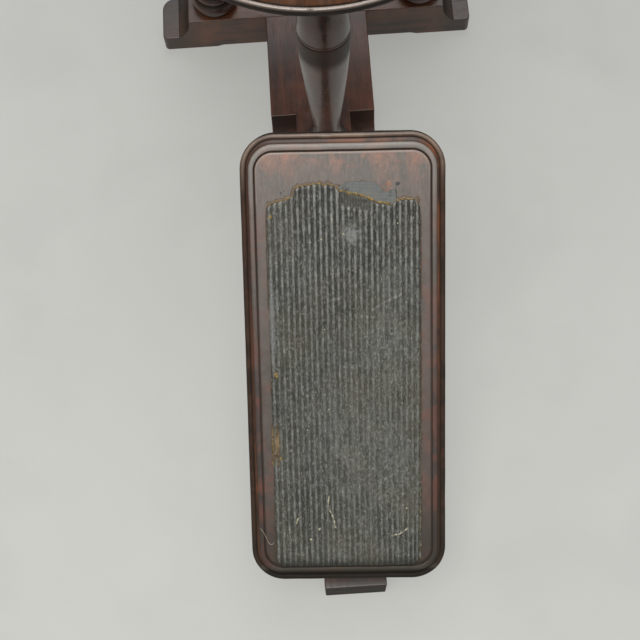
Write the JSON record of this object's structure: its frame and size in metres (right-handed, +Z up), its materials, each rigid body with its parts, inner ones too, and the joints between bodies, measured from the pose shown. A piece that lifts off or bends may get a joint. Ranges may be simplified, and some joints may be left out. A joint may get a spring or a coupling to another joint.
{
  "type": "shoe-fitting stool",
  "caption": "Dark mahogany shoe-fitting stool: round seat on turned legs, T-shaped base, and a sloping foot rest with a worn ribbed rubber mat on a swivelling post.",
  "frame": {"origin": "on the floor under the middle of the stool's bounding box", "axes": "+Y from the foot rest's low end towards the seat, +X to the right looking that way, +Z up"},
  "size_m": [0.281, 0.617, 0.29],
  "materials": {
    "wood": "dark red-brown mahogany under old shellac, rubbed at the edges",
    "dowel_wood": "bare hardwood dowel",
    "rubber": "dark grey ribbed rubber, worn and dusty",
    "cloth": "thin canvas backing soaked with old glue",
    "iron": "dull dark iron"
  },
  "bodies": {
    "stool": {"cross_beam": "wood", "long_rail": "wood", "rail_cheek_left": "wood", "rail_cheek_right": "wood", "beam_dowels": "dowel_wood", "cheek_dowels": "dowel_wood", "leg_front": "wood", "leg_rear_left": "wood", "leg_rear_right": "wood", "seat_board_left": "wood", "seat_board_right": "wood", "seat_dowels": "dowel_wood", "pivot_washer": "iron"},
    "foot_rest": {"foot_board": "wood", "mat_backing": "cloth", "rubber_mat": "rubber", "saddle_block": "wood", "saddle_screws": "iron", "foot_post": "wood", "keeper_washer": "iron", "keeper_screw": "iron"}
  },
  "joints": [
    {"name": "foot_swivel", "type": "hinge", "parent": "stool", "child": "foot_rest", "pos_m": [0.002, -0.1677, 0.041], "axis": [0, 0, 1], "continuous": true}
  ]
}
